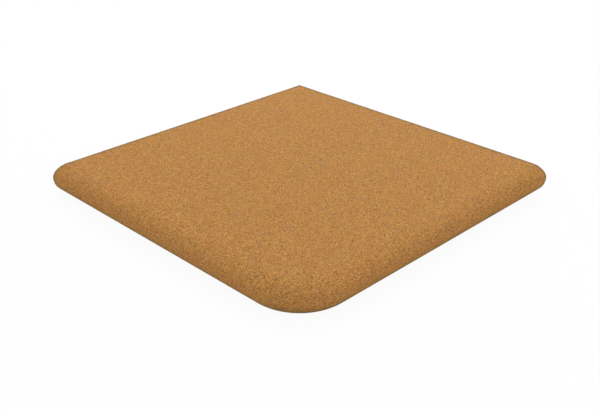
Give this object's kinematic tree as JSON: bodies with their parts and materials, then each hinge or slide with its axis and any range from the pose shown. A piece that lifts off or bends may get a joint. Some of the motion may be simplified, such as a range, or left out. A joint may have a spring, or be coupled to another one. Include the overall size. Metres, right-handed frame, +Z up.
{
  "type": "corner stair tread tile",
  "caption": "Square unglazed stoneware tread tile for an outside stair corner, with rounded nosings that meet in a rounded corner, plain edges behind and a keying grid below.",
  "frame": {"origin": "middle of the square footprint, level with the foot of the nose", "axes": "+Z up from the foot of the nose to the tread surface; the nosed edges face -X and -Y, the plain edges face +X and +Y"},
  "size_m": [0.33, 0.33, 0.028],
  "materials": {
    "stoneware": "matt unglazed, fine sandy grain"
  },
  "bodies": {
    "root": {"corner_tread_tile": "stoneware"}
  },
  "joints": []
}
